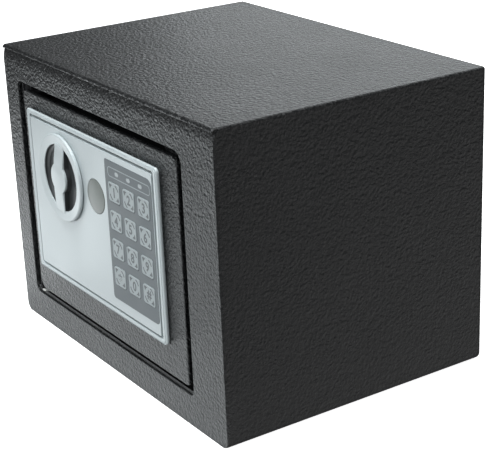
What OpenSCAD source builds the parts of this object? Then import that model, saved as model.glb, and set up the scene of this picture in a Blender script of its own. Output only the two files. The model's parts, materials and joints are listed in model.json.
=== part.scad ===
// Small electronic safe: welded steel cabinet, inset door on concealed hinge pins, silver
// fascia with a turn knob, key override and keypad, and the lock works behind the door.
// +X is right, +Y is back, +Z is up. The origin is the centre of the cabinet's underside.
// "depth" is measured back from the plane of the cabinet's front face.

/* [Cabinet] */
// Outer width of the cabinet
body_w = 230; // [222:2:260]
// Outer depth of the cabinet
body_d = 170; // [150:5:250]
// Outer height of the cabinet
body_h = 170; // [168:1:180]
// Thickness of the cabinet's sheet steel
sheet = 1.2; // [1:0.1:1.4]
// Bend radius along the cabinet's two bottom edges
bottom_bend_r = 5; // [3:0.5:8]
// Bend radius along the cabinet's two top edges
top_bend_r = 1.5; // [1.4:0.1:2.5]

/* [Doorway] */
// Width of the doorway in the front frame
doorway_w = 182.5; // [182:0.5:184]
// Height of the doorway in the front frame
doorway_h = 131.5; // [131:0.5:133]
// Depth of the flange folded back around the doorway
flange_depth = 8; // [7.8:0.1:8.2]

/* [Door] */
// Width of the door plate
door_w = 171.5; // [170:0.5:172]
// Height of the door plate
door_h = 124.5; // [124:0.5:125]
// Thickness of the door plate
door_t = 3; // [2:0.5:3]
// Radius of the hinge pins
hinge_pin_r = 3; // [2.5:0.1:3]

/* [Fascia] */
// Width of the silver fascia
fascia_w = 148.5; // [148:0.5:150]
// Height of the silver fascia
fascia_h = 98; // [98:0.5:99]
// How far the fascia stands out of the door
fascia_t = 2.4; // [2.4:0.1:3]
// Outer radius of the knob's ring
knob_r = 25.6; // [24:0.2:26]
// Width of the bar across the knob
knob_bar_w = 10.6; // [9:0.2:12]
// Radius of the cover over the override keyhole
key_cover_r = 9.8; // [9.5:0.1:10]

/* [Lock] */
// Radius of the two locking bolts
bolt_r = 8; // [6:0.5:8]
// Radius at which the crank pin turns about the knob's spindle
crank_r = 10; // [9:0.5:10]
// Depth of the cover over the lock works, measured from the front face
cover_depth = 38; // [38:0.5:42]

/* [Hidden] */
$fn = 48;

powder_black = [0.17, 0.175, 0.18];
silver = [0.78, 0.80, 0.80];
steel = [0.62, 0.63, 0.65];
black_plastic = [0.12, 0.12, 0.13];
copper = [0.72, 0.42, 0.22];

// The doorway's centre, and its corner radii from the bottom left, anticlockwise.
doorway = [-7.25, 85.25];
doorway_radii = [4.5, 3.5, 6.5, 3];
// The door's centre, which leaves the widest gap at the hinge side, and its corner radii.
door = [-5.75, 84.75];
door_radii = [6.5, 2.5, 6, 2.5];
door_left = door.x - door_w / 2;
door_bottom = door[1] - door_h / 2;
door_top = door[1] + door_h / 2;
doorway_bottom = doorway[1] - doorway_h / 2;
doorway_top = doorway[1] + doorway_h / 2;
doorway_right = doorway.x + doorway_w / 2;

// The hinge axis, as x and depth.
hinge = [-91, 4.5];
hinge_reach = 18;
running_gap = 0.06;
washer_z = [doorway_bottom + 0.15, doorway_bottom + 1.25];

// The fascia's centre, and what is on it, each as x and z.
fascia = [-10.95, 88.95];
// The raised rim's width at the sides, and at the top and bottom.
bezel_w = [3.9, 2.7];
bezel_step = 0.6;
fascia_floor = 0.9;
knob = [-43.75, 105.8];
knob_lean = 7;
knob_pocket_r = 19.5;
knob_boss_r = 8.8;
knob_ring_depth = -fascia_t - 2.4;
knob_bar_depth = -fascia_t - 3;
knob_boss_depth = -fascia_t - 3.6;
knob_core_depth = knob_bar_depth + 1.6;
knob_dish_r = 20.8;
lock = [-4.2, 105.1];
lock_face = -1.3;
barrel_r = 9.4;
plug_r = 6;

// The keypad: its centre, its size, and the grid of keys on it.
keypad = [33, 90.2];
keypad_w = 49.2;
keypad_h = 80.4;
keypad_radii = [2, 3, 4, 1.5];
key_size = [11.9, 10.9];
key_gap = 0.16;
key_pitch = [15.5, 16.2];
key_top_row = 112.9;
key_back = -fascia_floor - 0.4;
key_proud = 0.4;
lens_z = 124.1;
lens_pitch = 12.3;
board_depth = [-0.65, -0.1];
lens_size = [3.8, 2.2];

// The lock works: bolts at two heights, with a carriage that slides along X.
bolt_heights = [55, 115];
bolt_depth = 17;
bolt_tip = 78;
carriage_depth = 12;
carriage_t = 2;
carriage_flange = 40;
rivet_r = 4;
rivet_head_r = 6;
rivet_head_t = 1.5;
bolt_throw = crank_r * sqrt(2);
crank_pin_r = 2.5;
// A slot this much wider than the pin lets an even slide follow the pin's arc.
crank_slack = 0.45;
shoulder_r = 3;
shoulder_places = [[-15, 82], [35, 70], [35, 100]];
plunger_place = [-5, 13];
plunger_r = 3;
plunger_top = 71.5;
solenoid_z = [34, 58];
spring_height = 6;

// The cover over the lock works, as x and z limits.
cover_x = [-78, 73.2];
cover_z = [28, 142];
cover_wall = 1.2;
post_places = [[-72.5, 33.5], [66, 33.5], [-72.5, 136.5], [66, 136.5]];
fascia_screw_places = [[-73, 50], [52, 48], [-73, 126], [52, 134]];
anchor_r = 5;
anchor_spacing = 90;
floor_anchor_y = 20;

// Four cells stand side by side in the battery tray.
tray_x = [-68, -8];
tray_z = [36, 90];
tray_depth = 20.5;
tray_wall = 1;
cell_r = 7.1;
cell_h = 49;
cell_pitch = 14.5;

// ---- shared shapes -------------------------------------------------------------------------

function y_at(depth) = -body_d / 2 + depth;

// A rectangle with its own radius at each corner, from the bottom left, anticlockwise.
module outline(w, h, radii) {
    signs = [[-1, -1], [1, -1], [1, 1], [-1, 1]];
    difference() {
        square([w, h], center = true);
        for (i = [0:3]) {
            r = radii[i];
            translate([signs[i].x * (w / 2 - r), signs[i].y * (h / 2 - r)])
                difference() {
                    translate([signs[i].x * (r + 1) / 2, signs[i].y * (r + 1) / 2])
                        square(r + 1, center = true);
                    circle(r);
                }
        }
    }
}

// Extrudes an outline drawn in x and z from one depth to a deeper one.
module front_extrude(from, to) {
    translate([0, y_at(to), 0]) rotate([90, 0, 0]) linear_extrude(to - from) children();
}

module block(x, depth, z) {
    translate([x[0], y_at(depth[0]), z[0]])
        cube([x[1] - x[0], depth[1] - depth[0], z[1] - z[0]]);
}

module rod_x(r, x, depth, z) {
    translate([x[0], y_at(depth), z]) rotate([0, 90, 0]) cylinder(r = r, h = x[1] - x[0]);
}

module rod_y(r, place, depth) {
    translate([place[0], y_at(depth[0]), place[1]])
        rotate([-90, 0, 0]) cylinder(r = r, h = depth[1] - depth[0]);
}

module rod_z(r, place, z) {
    translate([place[0], y_at(place[1]), z[0]]) cylinder(r = r, h = z[1] - z[0]);
}

// A body of revolution about a line along Y; the profile's y runs forward from the depth.
module turned_y(place, depth) {
    translate([place[0], y_at(depth), place[1]])
        rotate([90, 0, 0]) rotate_extrude($fn = 72) children();
}

// ---- cabinet -------------------------------------------------------------------------------

module cabinet_outline(inset = 0) {
    translate([0, body_h / 2])
        outline(body_w - 2 * inset, body_h - 2 * inset,
            [bottom_bend_r - inset, bottom_bend_r - inset, top_bend_r - inset, top_bend_r - inset]);
}

module doorway_outline(grow = 0) {
    translate(doorway)
        outline(doorway_w + 2 * grow, doorway_h + 2 * grow, [for (r = doorway_radii) r + grow]);
}

module body_shell() {
    color(powder_black) difference() {
        front_extrude(sheet, body_d - sheet) difference() {
            cabinet_outline();
            cabinet_outline(sheet);
        }
        for (side = [-1, 1])
            translate([side * anchor_spacing / 2, floor_anchor_y, -1])
                cylinder(r = anchor_r, h = sheet + 2);
    }
}

module front_frame() {
    color(powder_black) difference() {
        union() {
            front_extrude(0, sheet) difference() {
                cabinet_outline();
                doorway_outline();
            }
            front_extrude(0, flange_depth) difference() {
                doorway_outline(sheet);
                doorway_outline();
            }
        }
        rod_z(hinge_pin_r + running_gap, hinge, [doorway_bottom - 3, doorway_bottom + 2]);
        rod_z(hinge_pin_r + running_gap, hinge, [doorway_top - 2, doorway_top + 3]);
    }
}

module back_panel() {
    color(powder_black) front_extrude(body_d - sheet, body_d) difference() {
        cabinet_outline();
        for (side = [-1, 1])
            translate([side * anchor_spacing / 2, body_h / 2]) circle(anchor_r);
    }
}

// A thick bar welded behind the front sheet, with the thrown bolts held behind it.
module strike_bar() {
    color(powder_black)
        block([doorway_right + sheet, 100], [sheet, bolt_depth - bolt_r - 0.8], [32, 138]);
}

module hinge_brackets() {
    bracket_t = 4;
    color(powder_black) for (z = [doorway_bottom - sheet - bracket_t, doorway_top + sheet])
        difference() {
            block([-101, -80], [sheet, 14], [z, z + bracket_t]);
            rod_z(hinge_pin_r + running_gap, hinge, [z - 1, z + bracket_t + 1]);
        }
}

// A nylon washer under the lower knuckle carries the door's weight.
module hinge_washer() {
    color([0.92, 0.92, 0.9]) difference() {
        rod_z(4, hinge, washer_z);
        rod_z(hinge_pin_r + 0.1, hinge, [washer_z[0] - 1, washer_z[1] + 1]);
    }
}

module door_stop_blocks(depth) {
    block([62, 76], depth, [doorway_bottom, doorway_bottom + 7]);
    block([62, 76], depth, [doorway_top - 7.5, doorway_top]);
}

module door_stops() {
    color(powder_black) door_stop_blocks([door_t + 1.6, door_t + 3.6]);
}

module door_bumpers() {
    color([0.08, 0.08, 0.08]) intersection() {
        door_stop_blocks([door_t + 0.3, door_t + 1.6]);
        block([64, 74], [0, 10], [doorway_bottom + 3.4, doorway_top - 4.6]);
    }
}

module floor_mat() {
    mat_t = 3;
    color([0.1, 0.1, 0.11]) difference() {
        block([-104, 104], [22, body_d - 8], [sheet, sheet + mat_t]);
        for (side = [-1, 1])
            translate([side * anchor_spacing / 2, floor_anchor_y, 0])
                cylinder(r = anchor_r + 3, h = sheet + mat_t + 1);
    }
}

// ---- door, hinges and the lock's fixed parts -----------------------------------------------

module hinge_spans(margin = 0) {
    for (z = [[door_bottom + 0.3, door_bottom + hinge_reach],
              [door_top - hinge_reach, door_top - 0.3]])
        rod_z(hinge_pin_r + margin, hinge, [z[0] - margin * 10, z[1] + margin * 10]);
}

module door_plate() {
    ribbon_slot = [22, 26];
    color(powder_black) difference() {
        front_extrude(0, door_t) difference() {
            translate(door) outline(door_w, door_h, door_radii);
            translate(knob) circle(7);
            translate(lock) circle(barrel_r + 0.1);
            translate([ribbon_slot[0], 117.5]) square([ribbon_slot[1] - ribbon_slot[0], 12]);
            for (place = fascia_screw_places) translate(place) circle(1.7);
        }
        hinge_spans(0.1);
    }
}

// Each knuckle wraps its pin beside the door's edge and is welded to the door's back.
module hinge_knuckles() {
    barrel = 4.4;
    barrels = [[washer_z[1] + 0.1, door_bottom + hinge_reach],
               [door_top - hinge_reach, doorway_top - 0.4]];
    leaves = [[door_bottom + 0.3, barrels[0][1]], [barrels[1][0], door_top - 0.3]];
    color(powder_black) for (i = [0, 1]) difference() {
        union() {
            rod_z(barrel, hinge, barrels[i]);
            block([hinge.x, -80], [door_t, hinge[1] + barrel], leaves[i]);
        }
        block([door_left, -70], [-2, door_t], [barrels[i][0] - 1, barrels[i][1] + 1]);
        rod_z(hinge_pin_r + 0.02, hinge, [barrels[i][0] - 1, barrels[i][1] + 1]);
    }
}

module hinge_pins() {
    tip = 6;
    color(steel) {
        rod_z(hinge_pin_r, hinge, [doorway_bottom - tip, door_bottom + hinge_reach]);
        rod_z(hinge_pin_r, hinge, [door_top - hinge_reach, doorway_top + tip]);
    }
}

module bolt_guide() {
    guide_z = [38, 132];
    color(steel) difference() {
        union() {
            block([68, 71], [door_t, 28], guide_z);
            block([58, 71], [door_t, door_t + 2], guide_z);
        }
        for (z = bolt_heights) rod_x(bolt_r + 0.08, [60, 75], bolt_depth, z);
    }
}

module fascia_outline(inset, radius) {
    translate(fascia) outline(fascia_w - 2 * inset.x, fascia_h - 2 * inset.y,
        [radius, radius, radius, radius]);
}

module fascia_bezel() {
    color(silver) {
        front_extrude(-fascia_floor, 0) difference() {
            fascia_outline([0, 0], 2.5);
            translate(knob) circle(knob_dish_r + 0.4);
            translate(lock) circle(barrel_r + 0.1);
            translate(keypad) square([keypad_w - 3, keypad_h - 3], center = true);
            for (place = fascia_screw_places) translate(place) circle(1.5);
        }
        front_extrude(-fascia_t + bezel_step, -fascia_floor) difference() {
            fascia_outline([0, 0], 2.5);
            fascia_outline(bezel_w, 1.3);
        }
        front_extrude(-fascia_t, -fascia_t + bezel_step) difference() {
            fascia_outline([bezel_step, bezel_step], 1.9);
            fascia_outline(bezel_w, 1.3);
        }
    }
}

module fascia_plate() {
    groove = [0.55, 0.55];
    color(silver) front_extrude(-fascia_t, -fascia_floor) difference() {
        fascia_outline(bezel_w + groove, 1);
        translate(knob) circle(knob_dish_r + 0.4);
        translate(lock) circle(key_cover_r + 0.15);
        translate(keypad) outline(keypad_w + 0.2, keypad_h + 0.2, keypad_radii);
    }
}

module fascia_screws() {
    color(steel) for (place = fascia_screw_places) {
        rod_y(1.45, place, [-fascia_floor, door_t]);
        rod_y(2.8, place, [door_t, door_t + 1.8]);
    }
}

function key_place(row, column) =
    [keypad.x + (column - 1) * key_pitch.x, key_top_row - row * key_pitch.y];

module key_outline(margin) {
    r = 1.6 + margin;
    outline(key_size.x + 2 * margin, key_size.y + 2 * margin, [r, r, r, r]);
}

module lens_outline(margin) {
    w = lens_size.x + 2 * margin;
    h = lens_size.y + 2 * margin;
    square([w - h, h], center = true);
    for (side = [-1, 1]) translate([side * (w - h) / 2, 0]) circle(h / 2);
}

module lens_places() {
    for (i = [-1:1]) translate([keypad.x + 0.8 + i * lens_pitch, lens_z]) children();
}

module keypad_overlay() {
    color([0.36, 0.39, 0.41]) front_extrude(-fascia_t - 0.1, -fascia_floor) difference() {
        translate(keypad) outline(keypad_w, keypad_h, keypad_radii);
        for (row = [0:3], column = [0:2])
            translate(key_place(row, column)) key_outline(key_gap);
        lens_places() lens_outline(0.05);
    }
}

// The circuit board under the keys, with a switch dome behind each key.
module keypad_board() {
    color([0.1, 0.35, 0.2]) {
        front_extrude(board_depth[0], board_depth[1])
            translate(keypad) square([keypad_w - 4, keypad_h - 4], center = true);
        for (row = [0:3], column = [0:2])
            rod_y(3, key_place(row, column), [board_depth[0] - 0.12, board_depth[0]]);
    }
}

module indicator_lenses() {
    color([0.75, 0.77, 0.75]) front_extrude(-fascia_t - 0.2, board_depth[0])
        lens_places() lens_outline(0);
}

module spindle_bush() {
    color([0.75, 0.6, 0.3]) difference() {
        union() {
            rod_y(6.95, knob, [0, door_t]);
            rod_y(9.5, knob, [door_t, door_t + 2]);
        }
        rod_y(4 + running_gap, knob, [-1, door_t + 3]);
    }
}

module lock_cylinder() {
    color(steel) difference() {
        rod_y(barrel_r, lock, [lock_face, 18]);
        rod_y(plug_r + running_gap, lock, [-3, 19]);
    }
}

module lock_nut() {
    across_corners = 26;
    color(steel) difference() {
        translate([lock[0], y_at(door_t + 0.1), lock[1]]) rotate([-90, 0, 0])
            cylinder(r = across_corners / 2, h = 4, $fn = 6);
        rod_y(barrel_r + 0.04, lock, [0, 10]);
    }
}

// A flat cable from the keypad's board, through the door and round to the control board.
module ribbon_cable() {
    thickness = 0.6;
    z = [118, 129];
    color([0.55, 0.57, 0.6]) {
        block([23.7, 23.7 + thickness], [board_depth[1], 8.6], z);
        block([-12.6, 23.7], [8, 8 + thickness], z);
        block([-12.6, -12.6 + thickness], [8 + thickness, 26], z);
    }
}

module control_board() {
    board = 24;
    top = 25.6;
    color([0.1, 0.35, 0.2]) {
        block([-70, -12.6], [board, top], [93, 134]);
        rod_y(6, [-24, 102], [top, 33]);
        block([-46, -32], [top, 28], [106, 116]);
        block([-66, -58], [top, 31], [122, 130]);
        block([-67.5, -60.5], [top, 27.2], [101.5, 108.5]);
    }
}

module solenoid_frame() {
    x = [plunger_place[0] - 10, plunger_place[0] + 10];
    color(steel) difference() {
        union() {
            block(x, [door_t, door_t + 2], solenoid_z);
            for (z = [[solenoid_z[0], solenoid_z[0] + 2], [solenoid_z[1] - 2, solenoid_z[1]]])
                block(x, [door_t + 2, 20], z);
        }
        rod_z(plunger_r + 0.15, plunger_place, [30, 60]);
    }
}

module solenoid_coil() {
    color(copper) difference() {
        rod_z(7, plunger_place, [solenoid_z[0] + 2, solenoid_z[1] - 2]);
        rod_z(plunger_r + 0.1, plunger_place, [30, 60]);
    }
}

// One wire ring per turn, joined into a closed stack.
module solenoid_spring() {
    wire = 0.35;
    rings = 5;
    color(steel) for (i = [0:rings - 1])
        translate([plunger_place[0], y_at(plunger_place[1]),
                   solenoid_z[1] + wire + i * (spring_height - 2 * wire) / (rings - 1)])
            rotate_extrude() translate([4, 0]) circle(wire, $fn = 16);
}

module carriage_screws() {
    color(steel) for (place = shoulder_places) {
        rod_y(4.5, place, [door_t, carriage_depth - 0.15]);
        rod_y(shoulder_r, place, [carriage_depth - 0.15, carriage_depth + carriage_t + 0.2]);
        rod_y(5, place, [carriage_depth + carriage_t + 0.2, carriage_depth + carriage_t + 2.2]);
    }
}

module cover_posts() {
    color(steel) for (place = post_places) difference() {
        rod_y(3.4, place, [door_t, cover_depth - cover_wall]);
        rod_y(1.5, place, [20, cover_depth]);
    }
}

module mechanism_cover() {
    lid_gap = 0.3;
    color(black_plastic) difference() {
        block(cover_x, [door_t, cover_depth], cover_z);
        block([cover_x[0] + cover_wall, cover_x[1] - cover_wall], [0, cover_depth - cover_wall],
            [cover_z[0] + cover_wall, cover_z[1] - cover_wall]);
        for (z = bolt_heights) rod_x(bolt_r + 0.6, [60, 80], bolt_depth, z);
        for (place = post_places) rod_y(1.6, place, [30, 45]);
        rod_y(3.7, [-64, 105], [30, 45]);
        block([tray_x[0] - lid_gap, tray_x[1] + lid_gap], [30, 45],
            [tray_z[0] - lid_gap, tray_z[1] + lid_gap]);
    }
}

module cover_screws() {
    color(steel) for (place = post_places) {
        rod_y(1.48, place, [26, cover_depth]);
        rod_y(3, place, [cover_depth, cover_depth + 1.8]);
    }
}

module battery_tray() {
    color(black_plastic) difference() {
        block(tray_x, [tray_depth, cover_depth - cover_wall - 0.1], tray_z);
        block([tray_x[0] + tray_wall, tray_x[1] - tray_wall], [tray_depth + tray_wall, 45],
            [tray_z[0] + tray_wall, tray_z[1] - tray_wall]);
    }
}

function cell_place(i) =
    [(tray_x[0] + tray_x[1]) / 2 + (i - 1.5) * cell_pitch, tray_depth + tray_wall + cell_r + 0.1];
cell_floor = tray_z[0] + tray_wall + 0.8;

module batteries() {
    color([0.8, 0.55, 0.2]) for (i = [0:3]) {
        rod_z(cell_r, cell_place(i), [cell_floor, cell_floor + cell_h]);
        rod_z(2.6, cell_place(i),
            i % 2 == 0 ? [cell_floor + cell_h, cell_floor + cell_h + 1] : [cell_floor - 0.6, cell_floor]);
    }
}

module battery_contacts() {
    low = tray_z[0] + tray_wall;
    high = tray_z[1] - tray_wall;
    color(steel) for (i = [0:3]) {
        place = cell_place(i);
        block([place[0] - 5, place[0] + 5], [place[1] - 5, place[1] + 5], [low, low + 0.2]);
        block([place[0] - 5, place[0] + 5], [place[1] - 5, place[1] + 5], [high - 0.2, high]);
    }
}

// ---- knob ----------------------------------------------------------------------------------

module knob_bar_outline(width, reach) {
    translate(knob) intersection() {
        rotate(-knob_lean) square([width, 2 * knob_pocket_r + 2], center = true);
        circle(reach);
    }
}

// The silver ring, rounded over at its outer edge, with the grip bar and its raised boss.
module knob_face() {
    round_r = 1.5;
    back = -fascia_t - 0.25;
    ring_t = back - knob_ring_depth;
    straight_r = knob_r - round_r;
    color(silver) {
        turned_y(knob, back) {
            translate([knob_pocket_r, 0]) square([straight_r - knob_pocket_r, ring_t]);
            translate([straight_r, 0]) square([round_r, ring_t - round_r]);
            translate([straight_r, ring_t - round_r]) intersection() {
                circle(round_r);
                square(round_r + 1);
            }
        }
        front_extrude(knob_bar_depth, knob_core_depth)
            knob_bar_outline(knob_bar_w, knob_pocket_r + 0.5);
        rod_y(knob_boss_r, knob, [knob_boss_depth, knob_core_depth]);
    }
}

// The black dish behind the ring: two finger pockets with the bar's core between them.
module knob_body() {
    floor_from = -1.2;
    floor_to = -0.4;
    color(black_plastic) difference() {
        union() {
            rod_y(knob_dish_r, knob, [floor_from, floor_to]);
            difference() {
                rod_y(knob_dish_r, knob, [-fascia_t - 0.25, floor_from]);
                rod_y(knob_pocket_r, knob, [-fascia_t - 1, floor_from]);
            }
            front_extrude(knob_core_depth, floor_from)
                knob_bar_outline(knob_bar_w - 0.6, knob_pocket_r);
            rod_y(knob_boss_r - 0.3, knob, [knob_core_depth, floor_from]);
        }
        rod_y(4.02, knob, [knob_core_depth - 1, 0]);
    }
}

module knob_spindle() {
    color(steel) rod_y(4, knob, [knob_core_depth + 0.1, 11.2]);
}

module drive_crank() {
    crank = [7, 10];
    color(steel) translate([knob[0], 0, knob[1]]) rotate([0, 135, 0]) {
        difference() {
            union() {
                rod_y(8, [0, 0], crank);
                block([0, crank_r], crank, [-4, 4]);
                rod_y(4, [crank_r, 0], crank);
            }
            rod_y(4.02, [0, 0], [6, 11]);
        }
        rod_y(crank_pin_r, [crank_r, 0], [crank[1], 16]);
    }
}

module spindle_clip() {
    color(steel) difference() {
        rod_y(6, knob, [10.05, 10.9]);
        rod_y(4.02, knob, [9, 12]);
    }
}

// ---- bolts and their carriage --------------------------------------------------------------

module travel_slot(place, r) {
    back = carriage_depth - 1;
    front = carriage_depth + carriage_t + 1;
    rod_y(r, place, [back, front]);
    rod_y(r, [place[0] - bolt_throw, place[1]], [back, front]);
    block([place[0] - bolt_throw, place[0]], [back, front], [place[1] - r, place[1] + r]);
}

module carriage_plate() {
    plate = [carriage_depth, carriage_depth + carriage_t];
    pin_x = knob[0] - crank_r / sqrt(2);
    slot_half = crank_pin_r + crank_slack;
    bar_z = [72, 92];
    notch_half = plunger_r + 0.4;
    color(steel) difference() {
        union() {
            block([pin_x - 10, pin_x + 10], plate, [bar_z[0], knob[1]]);
            block([pin_x - 10, carriage_flange], plate, bar_z);
            block([16, carriage_flange], plate, [46, 124]);
            block([carriage_flange, carriage_flange + 2], [carriage_depth, 26], [46, 124]);
        }
        block([pin_x - slot_half, pin_x + slot_half], [0, 20],
            [knob[1] - crank_r - crank_pin_r - 0.5, knob[1] - crank_r / sqrt(2) + crank_pin_r + 0.5]);
        for (place = shoulder_places) travel_slot(place, shoulder_r + 0.2);
        for (x = [plunger_place[0], plunger_place[0] - bolt_throw])
            block([x - notch_half, x + notch_half], [0, 20], [bar_z[0] - 1, plunger_top + 5.6]);
        for (z = bolt_heights) {
            rod_x(rivet_r + 0.02, [carriage_flange - 1, carriage_flange + 3], bolt_depth, z);
            rod_x(rivet_head_r + 0.2, [carriage_flange - rivet_head_t - 0.5, carriage_flange],
                bolt_depth, z);
        }
    }
}

// Each bolt has a stub riveted through the carriage's flange.
module locking_bolts() {
    chamfer = 1.2;
    start = carriage_flange + 2;
    color([0.75, 0.76, 0.78]) for (z = bolt_heights) {
        rod_x(rivet_r, [carriage_flange, start], bolt_depth, z);
        rod_x(rivet_head_r, [carriage_flange - rivet_head_t, carriage_flange], bolt_depth, z);
        rod_x(bolt_r, [start, bolt_tip - chamfer], bolt_depth, z);
        translate([bolt_tip - chamfer, y_at(bolt_depth), z]) rotate([0, 90, 0])
            cylinder(r1 = bolt_r, r2 = bolt_r - chamfer, h = chamfer);
    }
}

// ---- key override, solenoid, battery lid and reset button ----------------------------------

module key_cover() {
    crown = 0.6;
    back = lock_face - 0.2;
    rim = fascia_t + 0.1 + back;
    dome_r = (key_cover_r * key_cover_r + crown * crown) / (2 * crown);
    color([0.55, 0.57, 0.53]) turned_y(lock, back) {
        square([key_cover_r, rim]);
        translate([0, rim]) intersection() {
            translate([0, crown - dome_r]) circle(dome_r, $fn = 200);
            square([key_cover_r, crown + 1]);
        }
    }
}

module lock_plug() {
    color([0.75, 0.6, 0.3]) difference() {
        rod_y(plug_r, lock, [lock_face, 19]);
        block([lock[0] - 1, lock[0] + 1], [-3, 16], [lock[1] - 3.5, lock[1] + 3.5]);
    }
}

module lock_cam() {
    cam = [19, 20.2];
    screw = [cam[1], cam[1] + 2];
    half_w = 3.2;
    reach = 24;
    color(steel) difference() {
        union() {
            rod_y(7, lock, cam);
            block([lock[0] - half_w, lock[0] + half_w], cam, [lock[1] - reach, lock[1]]);
            rod_y(3.5, lock, screw);
        }
        rod_y(1, lock, [screw[1] - 1, screw[1] + 1]);
    }
}

module solenoid_plunger() {
    collar = solenoid_z[1] + spring_height;
    color(steel) {
        rod_z(plunger_r, plunger_place, [solenoid_z[0] + 3, plunger_top]);
        difference() {
            rod_z(5, plunger_place, [collar, collar + 1.5]);
            rod_z(plunger_r, plunger_place, [collar - 1, collar + 3]);
        }
    }
}

module battery_lid() {
    color(black_plastic) difference() {
        block(tray_x, [cover_depth - cover_wall, cover_depth], tray_z);
        for (i = [0:3])
            block([-29, -17], [cover_depth - 0.5, cover_depth + 1], [80 + i * 2, 80.9 + i * 2]);
    }
}

module reset_button() {
    color([0.75, 0.1, 0.1]) {
        rod_y(3.4, [-64, 105], [28.8, cover_depth + 1]);
        rod_y(4.6, [-64, 105], [cover_depth - cover_wall - 2.2, cover_depth - cover_wall - 0.2]);
    }
}

// ---- keys ----------------------------------------------------------------------------------

module key(row, column) {
    color([0.66, 0.69, 0.71])
        front_extrude(-fascia_t - key_proud, key_back)
            translate(key_place(row, column)) key_outline(0);
}

body_shell();
front_frame();
back_panel();
strike_bar();
hinge_brackets();
hinge_washer();
door_stops();
door_bumpers();
floor_mat();
door_plate();
hinge_knuckles();
hinge_pins();
bolt_guide();
fascia_bezel();
fascia_plate();
fascia_screws();
keypad_overlay();
keypad_board();
indicator_lenses();
spindle_bush();
lock_cylinder();
lock_nut();
ribbon_cable();
control_board();
solenoid_frame();
solenoid_coil();
solenoid_spring();
carriage_screws();
cover_posts();
mechanism_cover();
cover_screws();
battery_tray();
battery_contacts();
batteries();
knob_face();
knob_body();
knob_spindle();
drive_crank();
spindle_clip();
carriage_plate();
locking_bolts();
key_cover();
lock_plug();
lock_cam();
solenoid_plunger();
battery_lid();
reset_button();
key(0, 0);  // key_1
key(0, 1);  // key_2
key(0, 2);  // key_3
key(1, 0);  // key_4
key(1, 1);  // key_5
key(1, 2);  // key_6
key(2, 0);  // key_7
key(2, 1);  // key_8
key(2, 2);  // key_9
key(3, 0);  // key_star
key(3, 1);  // key_0
key(3, 2);  // key_hash
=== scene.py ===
"""Looks for the small electronic safe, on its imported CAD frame.

The cabinet's sheets, the door, the fascia, the keypad's film, the keys, the knob, the keyhole cap
and the cover's screws are modelled here more finely than in the CAD. Every other piece keeps its
CAD shape and gets a material. Lengths are in metres, and most are written as millimetres times MM.
"""

import json
import math

import bmesh
import bpy
from mathutils import Matrix, Vector
from mathutils.geometry import tessellate_polygon


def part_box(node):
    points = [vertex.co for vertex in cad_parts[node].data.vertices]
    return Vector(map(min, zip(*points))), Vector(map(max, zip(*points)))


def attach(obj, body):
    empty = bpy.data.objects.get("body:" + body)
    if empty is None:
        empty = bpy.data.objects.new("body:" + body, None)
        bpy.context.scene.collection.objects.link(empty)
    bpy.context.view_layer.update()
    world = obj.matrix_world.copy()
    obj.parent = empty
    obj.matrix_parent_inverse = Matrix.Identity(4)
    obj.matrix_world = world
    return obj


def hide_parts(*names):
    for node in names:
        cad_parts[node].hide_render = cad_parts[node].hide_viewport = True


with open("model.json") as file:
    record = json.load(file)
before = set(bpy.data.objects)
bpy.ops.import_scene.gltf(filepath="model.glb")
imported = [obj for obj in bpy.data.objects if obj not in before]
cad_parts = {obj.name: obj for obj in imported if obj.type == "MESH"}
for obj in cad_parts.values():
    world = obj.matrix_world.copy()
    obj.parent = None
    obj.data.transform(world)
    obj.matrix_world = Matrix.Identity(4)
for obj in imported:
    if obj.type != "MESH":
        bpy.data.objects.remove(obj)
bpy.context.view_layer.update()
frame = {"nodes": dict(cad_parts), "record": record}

MM = 0.001
SMOOTH_ANGLE = math.radians(38)
QUARTER_TURN = math.pi / 2


def quarter(steps):
    """Angles in even steps over a quarter turn, from none to all of it."""
    return [QUARTER_TURN * i / steps for i in range(steps + 1)]


# ---- places taken from the frame --------------------------------------------------------------


def rect_of(node):
    """A node's left, bottom, right and top, in metres."""
    low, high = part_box(node)
    return low.x, low.z, high.x, high.z


def middle_of(node):
    """A node's centre in x and z."""
    left, bottom, right, top = rect_of(node)
    return (left + right) / 2, (bottom + top) / 2


def front_of(node):
    """The y of a node's front."""
    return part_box(node)[0].y


def back_of(node):
    """The y of a node's back."""
    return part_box(node)[1].y


# ---- outlines, each a function of how far it is grown ----------------------------------------


def arc(centre, radius, start, end, steps):
    """Points along an arc, with its angles in degrees."""
    turn = [math.radians(start + (end - start) * i / steps) for i in range(steps + 1)]
    return [(centre[0] + radius * math.cos(t), centre[1] + radius * math.sin(t)) for t in turn]


def circle(centre, radius, steps=96):
    """A circle's outline, in x and z."""
    return lambda grow=0: arc(centre, radius + grow, 0, 360, steps)[:-1]


def rounded_rect(rect, radii, steps=8):
    """A rectangle with its own radius at each corner, from the bottom left, anticlockwise."""

    def outline(grow=0):
        left, bottom, right, top = rect[0] - grow, rect[1] - grow, rect[2] + grow, rect[3] + grow
        r = [max(radius + grow, 0.05 * MM) for radius in radii]
        return (
            arc((left + r[0], bottom + r[0]), r[0], 180, 270, steps)
            + arc((right - r[1], bottom + r[1]), r[1], 270, 360, steps)
            + arc((right - r[2], top - r[2]), r[2], 0, 90, steps)
            + arc((left + r[3], top - r[3]), r[3], 90, 180, steps)
        )

    return outline


def inset(rect, amount, amount_z=None):
    """A rectangle drawn in at its sides, and at its top and bottom."""
    z = amount if amount_z is None else amount_z
    return rect[0] + amount, rect[1] + z, rect[2] - amount, rect[3] - z


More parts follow.
